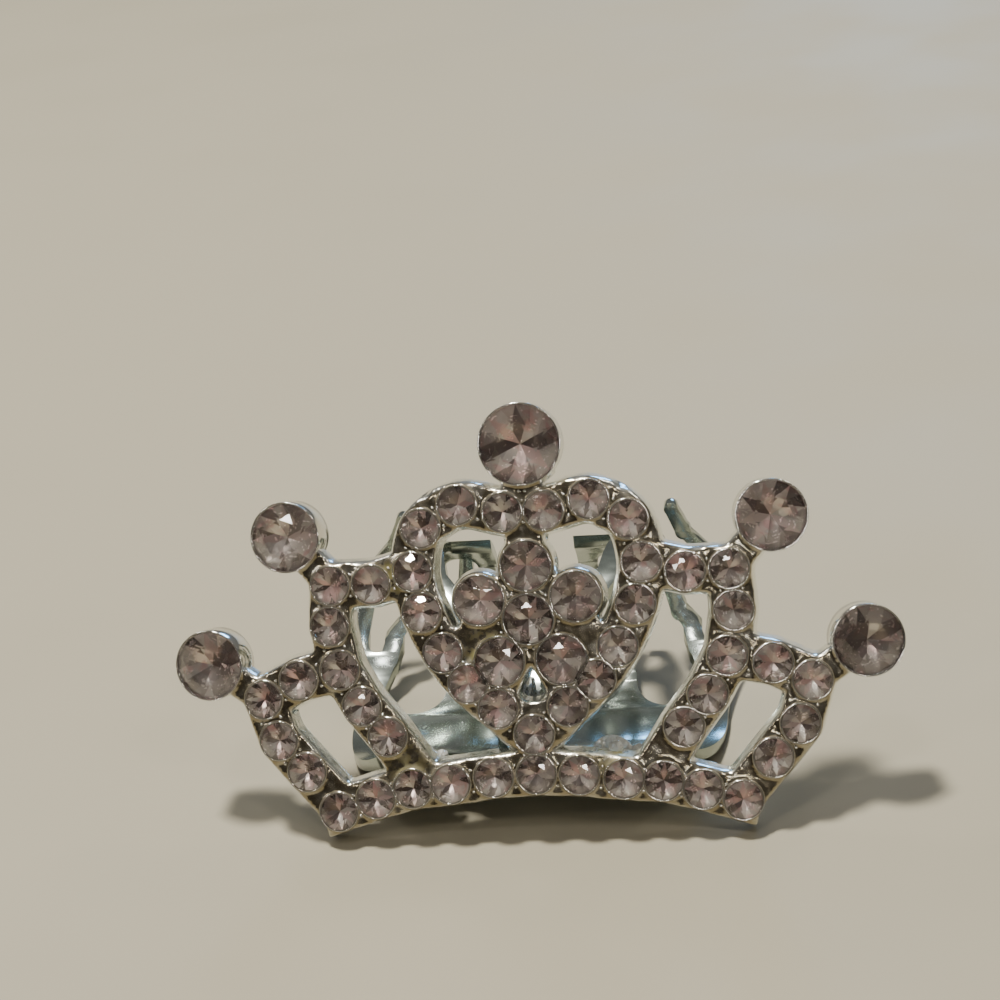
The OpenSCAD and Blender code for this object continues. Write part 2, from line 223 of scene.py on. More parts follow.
class GlueSettings(bpy.types.PropertyGroup):
    cell: length("Mesh cell", "Size of the mesh cells of the glue", 0.00013)
    amber: colour("Glue", "Clear glue that has gone slightly yellow", (0.93, 0.93, 0.87))


class StageSettings(bpy.types.PropertyGroup):
    camera_at: FloatVectorProperty(
        name="Camera", description="Place of the camera", default=(0.0175, -0.1371, 0.0950),
        size=3, precision=5, subtype="TRANSLATION", unit="LENGTH",
    )
    camera_turn: angle("Turn", "How far the camera looks to the left", 8.17)
    camera_dip: angle("Dip", "How far the camera looks down", 27.67)
    camera_roll: angle("Roll", "How far the camera leans to its right", 6.6)
    view: angle("View", "Angle that the camera takes in", 28.02)
    floor: colour("Floor", "Plain pale floor", (0.265, 0.24, 0.172))
    brightness: proportion("Lights", "Strength of all the lights", 1.0)


# Handling pieces


def deselect():
    if bpy.context.object and bpy.context.object.mode != "OBJECT":
        bpy.ops.object.mode_set(mode="OBJECT")
    bpy.ops.object.select_all(action="DESELECT")


def pick(*pieces):
    deselect()
    for piece in pieces:
        piece.select_set(True)
    bpy.context.view_layer.objects.active = pieces[0]


@contextmanager
def editing():
    """Edit mode with the whole mesh selected."""
    bpy.ops.object.mode_set(mode="EDIT")
    bpy.ops.mesh.select_all(action="SELECT")
    yield
    bpy.ops.object.mode_set(mode="OBJECT")


def named(name):
    """Names the object that was just added."""
    added = bpy.context.object
    added.name = name
    return added


def finish_with(piece, kind, **values):
    """Adds a modifier, sets its values and applies it."""
    pick(piece)
    bpy.ops.object.modifier_add(type=kind)
    modifier = piece.modifiers[-1]
    for name, value in values.items():
        setattr(modifier, name, value)
    bpy.ops.object.modifier_apply(modifier=modifier.name)


def round_edges(piece, width, sharpest, segments=2):
    """Rounds the edges whose faces turn by more than an angle in degrees."""
    finish_with(
        piece, "BEVEL", width=width, segments=segments, limit_method="ANGLE",
        angle_limit=math.radians(sharpest),
    )


def copy_of_node(node, name):
    """A copy of a CAD node's mesh with its loose triangles merged."""
    piece = bpy.data.objects.new(name, frame["nodes"][node].data.copy())
    bpy.context.scene.collection.objects.link(piece)
    piece.data.materials.clear()
    pick(piece)
    with editing():
        bpy.ops.mesh.remove_doubles(threshold=MERGE)
    return piece


def put_copy(model, place):
    """One more copy of a modelled piece, with its own mesh, at a place."""
    pick(model)
    bpy.ops.object.duplicate()
    copy = bpy.context.object
    copy.matrix_world = place
    return copy


def join_as(name, pieces):
    """Joins pieces into one, with its place in its mesh."""
    pick(*pieces)
    bpy.ops.object.join()
    piece = bpy.context.object
    bpy.ops.object.transform_apply(location=True, rotation=True, scale=True)
    piece.name = piece.data.name = name
    return piece


def discard(*pieces):
    for piece in pieces:
        bpy.data.objects.remove(piece)


def paint(piece, *materials):
    piece.data.materials.clear()
    for material in materials:
        piece.data.materials.append(material)


def soil_and_shade(piece, amount):
    """Marks a whole piece by an amount: from bright to grimy, and beyond that to painted shadow.
    """
    grime = piece.data.attributes.new(FACE_GRIME_AND_SHADOW, "FLOAT", "POINT")
    for corner in grime.data:
        corner.value = amount


def shade(piece, degrees=None):
    """Smooth shading, all over or up to an angle between faces."""
    pick(piece)
    if degrees is None:
        bpy.ops.object.shade_smooth()
    else:
        bpy.ops.object.shade_smooth_by_angle(angle=math.radians(degrees))


def dress(piece, body, slot, *nodes):
    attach(piece, body)
    if nodes:
        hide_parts(*nodes)


def clamp(value):
    return min(1.0, max(0.0, value))


def tree_of(points):
    """A tree that finds the nearest of the points."""
    tree = KDTree(len(points))
    for i, point in enumerate(points):
        tree.insert(point, i)
    tree.balance()
    return tree


# Finishes


def rgba(values):
    return (*values, 1.0)


def add_node(tree, kind, inputs=(), **values):
    """Adds a shader node, and gives each of its inputs a value or a link."""
    node = tree.nodes.new(kind)
    for name, value in values.items():
        setattr(node, name, value)
    for socket, value in dict(inputs).items():
        if isinstance(value, bpy.types.NodeSocket):
            tree.links.new(value, node.inputs[socket])
        else:
            node.inputs[socket].default_value = value
    return node


class Finish:
    """A material on the principled shader, with short ways to add and join its nodes."""

    def __init__(self, name, **sockets):
        self.material = bpy.data.materials.new(name)
        self.material.use_nodes = True
        self.tree = self.material.node_tree
        self.shader = self.tree.nodes["Principled BSDF"]
        for socket, value in sockets.items():
            self.shader.inputs[socket.replace("_", " ")].default_value = value
        self.place = self.add("ShaderNodeTexCoord").outputs["Object"]

    def add(self, kind, inputs=(), **values):
        return add_node(self.tree, kind, inputs, **values)

    def join(self, value, socket):
        self.tree.links.new(value, self.shader.inputs[socket])

    def painted(self, name):
        """The values that are painted on the mesh under a name."""
        return self.add("ShaderNodeAttribute", attribute_name=name).outputs["Fac"]

    def noise(self, size, detail=2.0, stretch=(1, 1, 1)):
        """Noise with features of about a size, from 0 to 1."""
        across = self.add("ShaderNodeMapping", {"Vector": self.place, "Scale": stretch})
        return self.add(
            "ShaderNodeTexNoise",
            {"Vector": across.outputs[0], "Scale": 1 / size, "Detail": detail},
        ).outputs[0]

    def spread(self, value, span, to=(0.0, 1.0)):
        """Maps a span of values to another, with soft ends."""
        limits = {"From Min": span[0], "From Max": span[1], "To Min": to[0], "To Max": to[1]}
        return self.add(
            "ShaderNodeMapRange", {"Value": value, **limits}, interpolation_type="SMOOTHSTEP"
        ).outputs[0]

    def maths(self, operation, first, second):
        return self.add("ShaderNodeMath", {0: first, 1: second}, operation=operation).outputs[0]

    def blend(self, factor, first, second):
        """A colour between two."""
        sockets = {"Factor": factor, 6: first, 7: second}
        return self.add("ShaderNodeMix", sockets, data_type="RGBA").outputs[2]

    def mottle(self, factor, tone, share):
        """A tone that darkens to a share of itself as the factor grows."""
        return self.blend(factor, rgba(tone), rgba([share * part for part in tone]))

    def relief(self, height, depth):
        """Gives the surface a bump of a depth."""
        bump = self.add("ShaderNodeBump", {"Height": height, "Distance": depth})
        self.join(bump.outputs[0], "Normal")


def silver_finish(casting, dirty_places):
    """Bright plate: painted shade in crevices, grime and painted shadow where marked, residue at
    places.

    Each dirty place is a point and how far the residue reaches from it.
    """
    silver = Finish("silver_plate", Metallic=1.0)
    crevice = silver.add("ShaderNodeAmbientOcclusion", {"Distance": 0.0006}, samples=8)
    patches = silver.spread(silver.noise(size=0.0012, detail=4.0), (0.3, 0.7), to=(-0.2, 0.2))
    face = silver.painted(FACE_GRIME_AND_SHADOW)
    worn_face = silver.maths("MULTIPLY", face, silver.maths("SUBTRACT", 0.95, patches))
    plate = silver.blend(worn_face, rgba(casting.silver), rgba(casting.grime))
    # Painted shadow: past grimy, on the small rims and round the small stones, the plate turns
    # dark brown
    outline = silver.spread(face, (GRIMY, OUTLINE_SHADOW))
    plate = silver.blend(outline, plate, rgba(casting.shade_brown))
    # Painted shade: where the ambient occlusion finds a crevice, the plate darkens to the dark
    # brown, less off the face
    open_to_light = silver.maths("ADD", crevice.outputs["AO"], patches)
    dark = silver.spread(open_to_light, (0.3, 0.8), to=(1.0, 0.0))
    on_face = silver.spread(face, (BRIGHT, GRIMY), to=(0.35, 0.65))
    dark = silver.maths("MULTIPLY", dark, on_face)
    base = silver.blend(dark, plate, rgba(casting.shade_brown))
    stain = None
    for place, reach in dirty_places:
        apart = silver.add(
            "ShaderNodeVectorMath", {0: silver.place, 1: place}, operation="DISTANCE"
        )
        near = silver.spread(apart.outputs["Value"], (0.4 * reach, reach), to=(1.0, 0.0))
        stain = near if stain is None else silver.maths("MAXIMUM", stain, near)
    broken = silver.spread(silver.noise(size=0.0007, detail=3.0), (0.35, 0.6))
    stain = silver.maths("MULTIPLY", stain, broken)
    silver.join(silver.blend(stain, base, rgba(casting.residue)), "Base Color")
    worn = silver.spread(silver.noise(size=0.0006, detail=3.0), (0.3, 0.7), to=(0.14, 0.26))
    silver.join(silver.maths("SUBTRACT", 1.0, outline), "Metallic")
    soiled = silver.maths("MULTIPLY", silver.maths("MAXIMUM", outline, stain), 0.35)
    silver.join(silver.maths("ADD", worn, soiled), "Roughness")
    silver.relief(silver.noise(size=0.0005, detail=3.0), depth=0.00002)
    return silver.material


def glass_finish(stone):
    return Finish(
        "stone_glass",
        Base_Color=rgba(stone.glass), Roughness=0.01, IOR=1.62, Transmission_Weight=1.0,
    ).material


def foil_finish(stone):
    """Mirror foil whose facets differ in painted brightness, with rosy facets and patches."""
    foil = Finish("stone_foil", Metallic=0.7)
    shine = foil.painted(FACET_SHINE)
    patches = foil.spread(foil.noise(size=0.0012, detail=1.0), (0.5, 0.7))
    rosy = foil.maths("MAXIMUM", patches, foil.spread(shine, (1.0, 2.0)))
    bright = foil.blend(rosy, rgba(stone.foil_bright), rgba(stone.foil_rose))
    foil.join(foil.blend(shine, rgba(stone.foil_dark), bright), "Base Color")
    foil.join(foil.spread(foil.noise(size=0.0004), (0.3, 0.7), to=(0.1, 0.28)), "Roughness")
    return foil.material


def steel_finish(claw):
    """Polished plate with fine scratches along the sheet and a few specks of dust."""
    steel = Finish("claw_steel", Metallic=1.0)
    scratches = steel.noise(size=0.0005, stretch=(0.3, 1.0, 1.0))
    clouds = steel.noise(size=0.004, detail=3.0)
    dull = steel.mottle(steel.spread(clouds, (0.4, 0.7)), claw.steel, share=0.82)
    dust = steel.spread(steel.noise(size=0.0002, detail=1.0), (0.79, 0.82))
    steel.join(steel.blend(dust, dull, rgba(claw.dust)), "Base Color")
    smears = steel.spread(scratches, (0.3, 0.75), to=(0.17, 0.21))
    steel.join(steel.maths("ADD", smears, steel.maths("MULTIPLY", dust, 0.4)), "Roughness")
    steel.relief(scratches, depth=0.000001)
    return steel.material


def wire_finish(claw):
    wire = Finish("plain_wire", Metallic=1.0)
    drawn = wire.noise(size=0.0002, detail=3.0)
    wire.join(wire.mottle(drawn, claw.wire, share=0.7), "Base Color")
    wire.join(wire.spread(drawn, (0.3, 0.7), to=(0.22, 0.4)), "Roughness")
    wire.relief(drawn, depth=0.000008)
    return wire.material


def glue_finish(glue):
    hard = Finish("clear_glue", IOR=1.5, Transmission_Weight=0.7)
    haze = hard.noise(size=0.0005)
    hard.join(hard.mottle(haze, glue.amber, share=0.8), "Base Color")
    hard.join(hard.spread(haze, (0.3, 0.7), to=(0.02, 0.07)), "Roughness")
    hard.relief(haze, depth=0.0004)
    return hard.material


def floor_finish(stage):
    """Plain pale cloth-coloured floor with a barely visible unevenness of tone."""
    floor = Finish("pale_floor")
    soft = floor.noise(size=0.03)
    floor.join(floor.mottle(soft, stage.floor, share=0.93), "Base Color")
    floor.join(floor.spread(soft, (0.3, 0.7), to=(0.6, 0.75)), "Roughness")
    return floor.material


# Stones and their seats


class Seat:
    """Where one stone sits: the middle of its girdle, the way it faces and its radius."""

    def __init__(self, centre, axis, radius):
        self.centre, self.axis, self.radius = centre, axis, radius

    def place(self, turn=0.0, scale=1.0):
        facing = self.axis.to_track_quat("Z", "Y").to_matrix().to_4x4()
        return (
            Matrix.Translation(self.centre)
            @ facing
            @ Matrix.Rotation(turn, 4, "Z")
            @ Matrix.Scale(scale, 4)
        )


def loose_stones(shape):
    """The corners of each loose solid of a mesh."""
    seen = set()
    for start in shape.verts:
        if start.index in seen:
            continue
        seen.add(start.index)
        stone, queue = [], [start]
        while queue:
            corner = queue.pop()
            stone.append(corner)
            for edge in corner.link_edges:
                other = edge.other_vert(corner)
                if other.index not in seen:
                    seen.add(other.index)
                    queue.append(other)
        yield stone


def seat_of(stone):
    """The seat of one stone, read from its point, where most edges meet, and its girdle."""
    point = max(stone, key=lambda corner: len(corner.link_edges))
    rest = [corner.co - point.co for corner in stone if corner is not point]
    axis = sum(rest, Vector()).normalized()
    radius = max(corner.cross(axis).length for corner in rest)
    girdle = [corner.dot(axis) for corner in rest if corner.cross(axis).length > GIRDLE * radius]
    return Seat(point.co + axis * sum(girdle) / len(girdle), axis, radius)


def seats_in(node):
    """The seat of each stone in a CAD node."""
    shape = bmesh.new()
    shape.from_mesh(frame["nodes"][node].data)
    bmesh.ops.remove_doubles(shape, verts=shape.verts, dist=MERGE)
    shape.verts.index_update()
    seats = [seat_of(stone) for stone in loose_stones(shape)]
    shape.free()
    return seats


def all_seats():
    return [seat for node in STONE_NODES for seat in seats_in(node)]


def seat_finder(seats):
    """Gives the seat that is nearest to a point."""
    tree = tree_of([seat.centre for seat in seats])
    return lambda point: seats[tree.find(point)[1]]


def between(*seats):
    return sum((seat.centre for seat in seats), Vector()) / len(seats)


def nearest_pair(first, second):
    """The two seats of two rows that lie closest together."""
    return min(
        ((one, other) for one in first for other in second),
        key=lambda pair: (pair[0].centre - pair[1].centre).length,
    )


def glass_radius(stone, seat):
    """The glass fills its seat up to the rim, the small stones most of all."""
    return seat.radius * (stone.small_scale if seat.radius < SMALL_SEAT else stone.large_scale)


def grind(count, turn, slope, radius, height):
    """Cuts a ring of facets, each through a point at a radius and a height.

    The turn is in degrees, and so is the slope, which is over 90 where the facets face down.
    """
    for i in range(count):
        way = math.radians(turn) + 2 * math.pi * i / count
        tilt = math.radians(slope)
        outward = Vector((math.cos(way), math.sin(way), 0))
        bpy.ops.mesh.select_all(action="SELECT")
        bpy.ops.mesh.bisect(
            plane_co=outward * radius + Vector((0, 0, height)),
            plane_no=outward * math.sin(tilt) + Vector((0, 0, math.cos(tilt))),
            use_fill=True,
            clear_outer=True,
        )


def cut_stone(stone):
    """One round stone of diameter 1 with its girdle at height 0.

    Above the girdle it has a table, 8 stars, 8 kites and 16 girdle facets, and below it 8 mains
    and 16 girdle facets, which are foiled.
    """
    edge = 0.5  # radius of the girdle
    band = 0.012  # half the girdle's thickness
    tip = 0.38  # how far out the stars end
    near = 0.18  # how far out the lower girdle facets end
    table = stone.table / 2
    rise = stone.crown - band
    kite = math.atan2(rise, edge - table)
    half, quarter = math.radians(HALF_STEP), math.radians(QUARTER_STEP)
    tip_height = band + (edge - tip * math.cos(half)) * math.tan(kite)
    star = math.atan2(stone.crown - tip_height, tip - table * math.cos(half))
    chord = edge * math.cos(quarter)
    upper = math.atan2(tip_height - band, chord - tip * math.cos(quarter))
    main = math.atan2(stone.pavilion - band, edge)
    near_depth = stone.pavilion - near * math.cos(half) * math.tan(main)
    lower = math.atan2(near_depth - band, chord - near * math.cos(quarter))

    bpy.ops.mesh.primitive_cylinder_add(
        vertices=32, radius=edge, depth=stone.crown + stone.pavilion,
        location=(0, 0, (stone.crown - stone.pavilion) / 2),
    )
    model = named("stone_model")
    bpy.ops.object.transform_apply(location=True)
    with editing():
        grind(8, 0, math.degrees(kite), edge, band)
        grind(8, HALF_STEP, math.degrees(star), table * math.cos(half), stone.crown)
        grind(16, QUARTER_STEP, math.degrees(upper), chord, band)
        grind(8, 0, 180 - math.degrees(main), edge, -band)
        grind(16, QUARTER_STEP, 180 - math.degrees(lower), chord, -band)
        bpy.ops.mesh.select_all(action="SELECT")
        bpy.ops.mesh.remove_doubles(threshold=STONE_MERGE)
    paint(model, glass_finish(stone), foil_finish(stone))
    for facet in model.data.polygons:
        facet.material_index = 1 if facet.normal.z < FOILED else 0
    model.data.attributes.new(FACET_SHINE, "FLOAT", "FACE")
    return model


def shine_facets(piece, draw):
    """Draws the painted light of each facet of one stone, and how rosy the broad ones are."""
    shine = piece.data.attributes[FACET_SHINE].data
    for facet, value in zip(piece.data.polygons, shine):
        bright = draw.random() < BRIGHT_SHARE
        value.value = draw.uniform(*(BRIGHT_RANGE if bright else DARK_RANGE))
        if bright and facet.normal.z < BROAD_FACET:
            value.value += draw.uniform(*ROSY_RANGE)


def turn_rim(casting, radius):
    """A rounded ring for glass of a radius: a low rim in painted shadow, or a deep bright cup."""
    if radius > LARGE_SEAT:
        top, depth, width = casting.cup_height, casting.cup_depth, casting.cup_width
        sides, amount = 64, BRIGHT
    else:
        top, depth, width = casting.rim_height, casting.rim_depth, casting.rim_width
        # A small rim is dark all over, as painted shadow round its stone
        sides, amount = 36, OUTLINE_SHADOW
    bpy.ops.mesh.primitive_cylinder_add(
        vertices=sides, radius=radius + casting.rim_gap, depth=top + depth,
        end_fill_type="NOTHING", location=(0, 0, (top - depth) / 2),
    )
    rim = named("rim_model")
    soil_and_shade(rim, amount)
    bpy.ops.object.transform_apply(location=True)
    finish_with(rim, "SOLIDIFY", thickness=width, offset=1.0)
    round_edges(rim, 0.3 * width, 60)
    shade(rim, 60)
    return rim


def model_bead(casting):
    """A bead raised from the casting: a flattened ball."""
    bpy.ops.mesh.primitive_uv_sphere_add(segments=14, ring_count=9, radius=casting.bead_radius)
    bead = named("bead_model")
    soil_and_shade(bead, BEAD_SOIL)
    with editing():
        bpy.ops.transform.resize(value=(1, 1, BEAD_HEIGHT))
        # The cut's own threshold is nearly the bead's radius, so the cut leaves the ball whole and
        # adds stray faces inside it
        bpy.ops.mesh.bisect(
            plane_co=(0, 0, -0.3 * casting.bead_radius), plane_no=(0, 0, -1),
            use_fill=True, clear_outer=True,
        )
    shade(bead, 60)
    return bead


def lies_on(piece, bead, reach):
    """Whether a bead sits on a piece's surface, and on a part of it that faces its way."""
    graph = bpy.context.evaluated_depsgraph_get()
    found, place, facing, _ = piece.closest_point_on_mesh(bead.centre, depsgraph=graph)
    return found and (place - bead.centre).length < reach and facing.dot(bead.axis) > BEAD_FACING


def bead_places(seats, bead_radius, crown):
    """Two beads beside each gap between neighbours, on the metal and clear of every stone."""
    places = []
    for i, one in enumerate(seats):
        for other in seats[i + 1 :]:
            apart = other.centre - one.centre
            if apart.length > one.radius + other.radius + NEIGHBOUR_GAP:
                continue
            up = (one.axis + other.axis).normalized()
            side = up.cross(apart).normalized()
            share = (one.radius + (apart.length - other.radius)) / 2 / apart.length
            middle = one.centre + apart * share
            for way in (-1, 1):
                aside = side * way * BEAD_ASIDE * min(one.radius, other.radius)
                bead = Seat(middle + aside, up, bead_radius)
                clear = all(
                    (bead.centre - seat.centre).length
                    > STONE_ROOM * seat.radius + BEAD_ROOM * bead_radius
                    for seat in seats
                )
                if clear and lies_on(crown, bead, BEAD_REACH * bead_radius):
                    places.append(bead)
    return places


# The casting


def above_foot(corner):
    """0 near the ground and 1 higher up, so that the base bar's ends stay where they stand."""
    return clamp(corner.co.z / FOOT - 0.5)


def heart_curve():
    """Points of a smooth closed curve through the heart's small stones."""
    ring = seats_in("heart_row")
    middle = between(*ring)
    ring.sort(key=lambda seat: math.atan2(seat.centre.z - middle.z, seat.centre.x - middle.x))
    curve = []
    for i in range(len(ring)):
        before, start, end, after = (
            ring[(i + step) % len(ring)].centre for step in (-1, 0, 1, 2)
        )
        curve += geometry.interpolate_bezier(
            start, start + (end - before) / 6, end - (after - start) / 6, end, CURVE_STEPS
        )
    return curve


# Operators


class TIARA_OT_cast_crown(bpy.types.Operator):
    """Soften the crown's casting and give it its silver plate"""

    bl_idname = "tiara.cast_crown"
    bl_label = "Cast crown"

    def execute(self, context):
        casting = context.scene.tiara_casting
        crown = copy_of_node("crown_frame", "cast_crown")
        finish_with(crown, "REMESH", mode="VOXEL", voxel_size=casting.cell)
        nearest = seat_finder(all_seats())
        self.round_heart(crown, nearest, casting.half_bar)
        self.weigh_walls(crown, nearest)
        finish_with(
            crown, "SMOOTH", factor=0.5, iterations=casting.rounding, vertex_group="outline"
        )
        finish_with(
            crown, "DISPLACE", strength=casting.flare, mid_level=0.0, direction="NORMAL",
            vertex_group="walls",
        )
        self.press_rims(crown, nearest)
        finish_with(crown, "SMOOTH", factor=0.5, iterations=casting.soften)
        self.mark_grime_and_shadow(crown, nearest, casting.shadow_collar)
        shade(crown)
        paint(crown, silver_finish(casting, self.dirty_places()))
        dress(crown, "crown", "silver_plate", "crown_frame")
        return {"FINISHED"}

    def round_heart(self, crown, nearest, half_bar):
        """Moves the heart's side walls to an even distance from a curve through its stones."""
        tree = tree_of(heart_curve())
        # The normals are read first, because reading one after a move works them all out again
        normals = [corner.normal.copy() for corner in crown.data.vertices]
        for corner, normal in zip(crown.data.vertices, normals):
            seat = nearest(corner.co)
            outward = corner.co - tree.find(corner.co)[0]
            outward -= outward.dot(seat.axis) * seat.axis
            short = half_bar - outward.length
            from_glass = (corner.co - seat.centre).cross(seat.axis).length - seat.radius
            if abs(short) < HEART_REACH and from_glass > GLASS_CLEAR:
                outward.normalize()
                facing = normal.dot(outward) ** 2
                corner.co += outward * short * facing * above_foot(corner)

    def weigh_walls(self, crown, nearest):
        """Makes two vertex groups of the side walls, clear of the large cups and of the ground.

        "outline" holds the walls as a whole, and "walls" grows from the face to the back.
        """
        outline = crown.vertex_groups.new(name="outline")
        walls = crown.vertex_groups.new(name="walls")
        for corner in crown.data.vertices:
            seat = nearest(corner.co)
            offset = corner.co - seat.centre
            depth = -offset.dot(seat.axis)
            from_glass = offset.cross(seat.axis).length - seat.radius
            if seat.radius > LARGE_SEAT and from_glass < CUP_CLEAR:
                continue
            sideways = 1 - abs(corner.normal.dot(seat.axis))
            sideways *= above_foot(corner)
            if sideways > 0:
                from_rim = clamp(from_glass / GLASS_CLEAR - 1)
                outline.add([corner.index], sideways * from_rim, "REPLACE")
                walls.add([corner.index], sideways * clamp(depth / FLARE_DEPTH), "REPLACE")

    def press_rims(self, crown, nearest):
        """Lowers the cast rims of the small and medium stones to nearly their girdles."""
        for corner in crown.data.vertices:
            seat = nearest(corner.co)
            height = (corner.co - seat.centre).dot(seat.axis)
            if seat.radius < LARGE_SEAT and height > 0:
                corner.co -= PRESSED * height * seat.axis

    def mark_grime_and_shadow(self, crown, nearest, shadow_collar):
        """Marks grime between the stones and a collar of painted shadow round each, not the large
        cups.
        """
        grime = crown.data.attributes.new(FACE_GRIME_AND_SHADOW, "FLOAT", "POINT")
        for corner in crown.data.vertices:
            seat = nearest(corner.co)
            if seat.radius < LARGE_SEAT:
                # Grime where the metal faces out, and painted shadow in a collar next to the glass
                facing = corner.normal.dot(seat.axis)
                from_glass = (corner.co - seat.centre).length - seat.radius
                grime.data[corner.index].value = max(
                    GRIMY * clamp((facing - FACE_FROM) / FACE_OVER),
                    OUTLINE_SHADOW * clamp(2 - 2 * from_glass / shadow_collar),
                )

    def dirty_places(self):
        """Where old glue and dirt show: at the glue and in two corners on the left."""
        glue = [sum(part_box(node), Vector()) / 2 for node in ("glue_left", "glue_right")]
        corner = nearest_pair(seats_in("upper_arm_row_left"), seats_in("heart_row"))
        web = between(*seats_in("heart_stone_2"), *seats_in("heart_stone_5"))
        side = between(*nearest_pair(seats_in("heart_stone_5"), seats_in("heart_row")))
        return (
            (glue[0], GLUE_REACH), (glue[1], GLUE_REACH), (between(*corner), CORNER_REACH),
            ((web + side) / 2, WEB_REACH),
        )


class TIARA_OT_set_rims(bpy.types.Operator):
    """Turn a rim for every stone and raise the beads between them"""

    bl_idname = "tiara.set_rims"
    bl_label = "Rims and beads"

    def execute(self, context):
        casting = context.scene.tiara_casting
        seats = all_seats()
        models, rims = {}, []
        for seat in seats:
            size = round(glass_radius(context.scene.tiara_stones, seat), 5)
            if size not in models:
                models[size] = turn_rim(casting, size)
            rims.append(put_copy(models[size], seat.place()))
        bead = model_bead(casting)
        crown = bpy.data.objects["cast_crown"]
        beads = [
            put_copy(bead, place.place())
            for place in bead_places(seats, casting.bead_radius, crown)
        ]
        settings = join_as("rims_and_beads", rims + beads)
        discard(bead, *models.values())
        paint(settings, bpy.data.materials["silver_plate"])
        dress(settings, "crown", "silver_plate")
        return {"FINISHED"}


class TIARA_OT_cut_stones(bpy.types.Operator):
    """Cut one stone and set a copy of it in every seat"""

    bl_idname = "tiara.cut_stones"
    bl_label = "Cut stones"

    def execute(self, context):
        deselect()
        stone = context.scene.tiara_stones
        model = cut_stone(stone)
        number = 0
        for node in STONE_NODES:
            copies = []
            for seat in seats_in(node):
                number += 1
                place = seat.place(GOLDEN_ANGLE * number, 2 * glass_radius(stone, seat))
                copies.append(put_copy(model, place))
                shine_facets(copies[-1], random.Random(number))
            dress(join_as("cut_" + node, copies), "crown", "stone", node)
        discard(model)
        return {"FINISHED"}


class TIARA_OT_bend_claw(bpy.types.Operator):
    """Round the edges of both halves of the claw and polish them"""

    bl_idname = "tiara.bend_claw"
    bl_label = "Claw"

    def execute(self, context):
        claw = context.scene.tiara_claw
        steel = steel_finish(claw)
        for node, name, body in (
            ("lower_jaw", "claw_plate", "crown"),
            ("upper_jaw", "claw_lever", "jaw"),
        ):
            half = copy_of_node(node, name)
            round_edges(half, claw.edge, 50)
            shade(half, 35)
            paint(half, steel)
            dress(half, body, "claw_steel", node)
        return {"FINISHED"}


class TIARA_OT_fit_hinge(bpy.types.Operator):
    """Round the pin's heads and the spring's wire"""

    bl_idname = "tiara.fit_hinge"
    bl_label = "Pin and spring"

    def execute(self, context):
        claw = context.scene.tiara_claw
        wire = wire_finish(claw)
        pin = copy_of_node("hinge_pin", "riveted_pin")
        round_edges(pin, claw.head, 50, segments=3)
        shade(pin, 40)
        paint(pin, wire)
        dress(pin, "crown", "pin_steel", "hinge_pin")

        spring = copy_of_node("torsion_spring", "coil_spring")
        with editing():
            bpy.ops.mesh.tris_convert_to_quads()
        finish_with(spring, "SUBSURF", levels=2)
        shade(spring)
        paint(spring, wire)
        dress(spring, "crown", "spring_steel", "torsion_spring")
        return {"FINISHED"}


class TIARA_OT_drop_glue(bpy.types.Operator):
    """Make each blob of glue lumpy, with small runs beside it"""

    bl_idname = "tiara.drop_glue"
    bl_label = "Glue"

    def execute(self, context):
        glue = context.scene.tiara_glue
        clear = glue_finish(glue)
        for node in ("glue_left", "glue_right"):
            blob = copy_of_node(node, node + "_blob")
            low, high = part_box(node)
            middle, half = (low + high) / 2, (high - low) / 2
            for across, along, up, size in GLUE_LUMPS:
                bpy.ops.mesh.primitive_ico_sphere_add(
                    subdivisions=3, radius=size * half.z,
                    location=middle + Vector((across * half.x, along * half.y, up * half.z)),
                )
                blob = join_as(node + "_blob", [blob, bpy.context.object])
            finish_with(blob, "REMESH", mode="VOXEL", voxel_size=glue.cell)
            finish_with(blob, "SMOOTH", factor=0.5, iterations=5)
            shade(blob)
            paint(blob, clear)
            dress(blob, "crown", "glue", node)
        return {"FINISHED"}


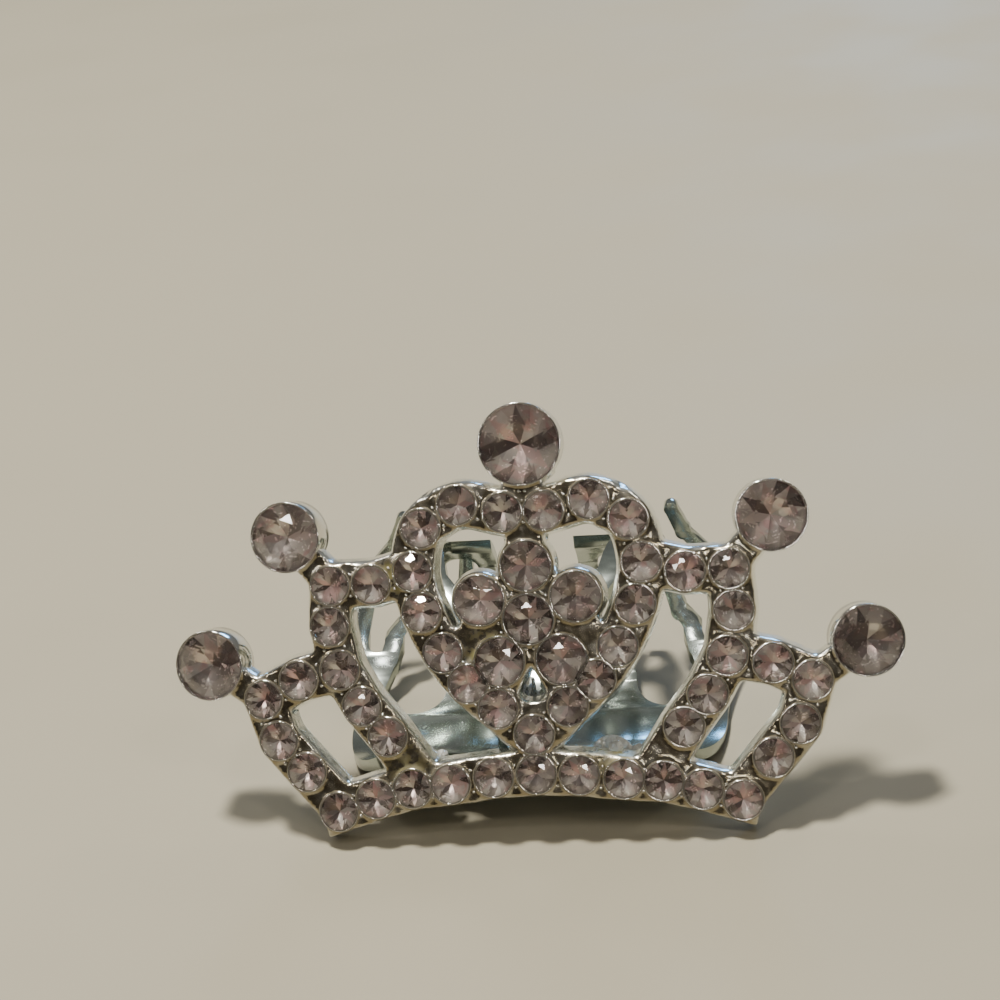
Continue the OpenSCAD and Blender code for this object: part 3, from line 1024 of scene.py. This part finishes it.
class TIARA_OT_set_stage(bpy.types.Operator):
    """Lay the floor, hang the lights and stand the camera at the photograph's angle"""

    bl_idname = "tiara.set_stage"
    bl_label = "Stage"

    def execute(self, context):
        stage = context.scene.tiara_stage
        deselect()
        bpy.ops.mesh.primitive_plane_add(size=6.0, location=(0, 0, -FLOOR_GAP))
        floor = named("floor")
        with editing():
            bpy.ops.mesh.subdivide(number_cuts=3)
        bpy.ops.object.transform_apply(location=True)
        paint(floor, floor_finish(stage))

        for name, place, size, power, tint in LIGHTS:
            self.light(name, place, size, power * stage.brightness, tint)
        self.surroundings(context.scene)

        bpy.ops.object.camera_add(location=stage.camera_at)
        camera = named("camera")
        camera.rotation_euler = (
            Matrix.Rotation(stage.camera_turn, 3, "Z")
            @ Matrix.Rotation(math.pi / 2 - stage.camera_dip, 3, "X")
            @ Matrix.Rotation(-stage.camera_roll, 3, "Z")
        ).to_euler()
        camera.data.angle = stage.view
        camera.data.clip_start = 0.005
        camera.data.clip_end = 20.0
        context.scene.camera = camera
        return {"FINISHED"}

    def light(self, name, place, size, power, tint):
        """A soft rectangular light that faces the tiara."""
        bpy.ops.object.light_add(type="AREA", location=place)
        lamp = named(name)
        lamp.rotation_euler = (-Vector(place)).to_track_quat("-Z", "Y").to_euler()
        lamp.data.shape = "RECTANGLE"
        lamp.data.size, lamp.data.size_y = size
        lamp.data.energy = power
        lamp.data.color = tint

    def surroundings(self, scene):
        """A dim room: paler above and behind, browner and darker low in front."""
        scene.world = bpy.data.worlds.new("dim_room")
        scene.world.use_nodes = True
        tree = scene.world.node_tree
        way = add_node(tree, "ShaderNodeTexCoord").outputs["Generated"]
        slope = add_node(
            tree, "ShaderNodeVectorMath", {0: way, 1: ROOM_UP}, operation="DOT_PRODUCT"
        ).outputs["Value"]
        lift = add_node(tree, "ShaderNodeMapRange", {"Value": slope, "From Min": -0.5})
        ramp = add_node(tree, "ShaderNodeValToRGB", {"Fac": lift.outputs[0]})
        ramp.color_ramp.elements[0].color = ROOM_LOW
        ramp.color_ramp.elements[1].color = ROOM_HIGH
        sky = tree.nodes["Background"]
        sky.inputs["Strength"].default_value = ROOM_STRENGTH
        tree.links.new(ramp.outputs["Color"], sky.inputs["Color"])


class TIARA_PT_maker(bpy.types.Panel):
    bl_label = "Mini tiara"
    bl_idname = "TIARA_PT_maker"
    bl_space_type = "VIEW_3D"
    bl_region_type = "UI"
    bl_category = "Tiara"

    def draw(self, context):
        for maker in MAKERS:
            self.layout.operator(maker.bl_idname)
        for group, name in SETTINGS:
            box = self.layout.box()
            settings = getattr(context.scene, name)
            for value in group.__annotations__:
                box.prop(settings, value)


SETTINGS = (
    (CastingSettings, "tiara_casting"),
    (StoneSettings, "tiara_stones"),
    (ClawSettings, "tiara_claw"),
    (GlueSettings, "tiara_glue"),
    (StageSettings, "tiara_stage"),
)
MAKERS = (
    TIARA_OT_cast_crown,
    TIARA_OT_set_rims,
    TIARA_OT_cut_stones,
    TIARA_OT_bend_claw,
    TIARA_OT_fit_hinge,
    TIARA_OT_drop_glue,
    TIARA_OT_set_stage,
)


def register():
    for group, name in SETTINGS:
        bpy.utils.register_class(group)
        setattr(bpy.types.Scene, name, PointerProperty(type=group))
    for maker in (*MAKERS, TIARA_PT_maker):
        bpy.utils.register_class(maker)


def unregister():
    for maker in reversed((*MAKERS, TIARA_PT_maker)):
        bpy.utils.unregister_class(maker)
    for group, name in reversed(SETTINGS):
        delattr(bpy.types.Scene, name)
        bpy.utils.unregister_class(group)


def main():
    register()
    for maker in MAKERS:
        group, name = maker.bl_idname.split(".")
        getattr(getattr(bpy.ops, group), name)()
    bpy.context.view_layer.update()


if __name__ == "__main__":
    main()
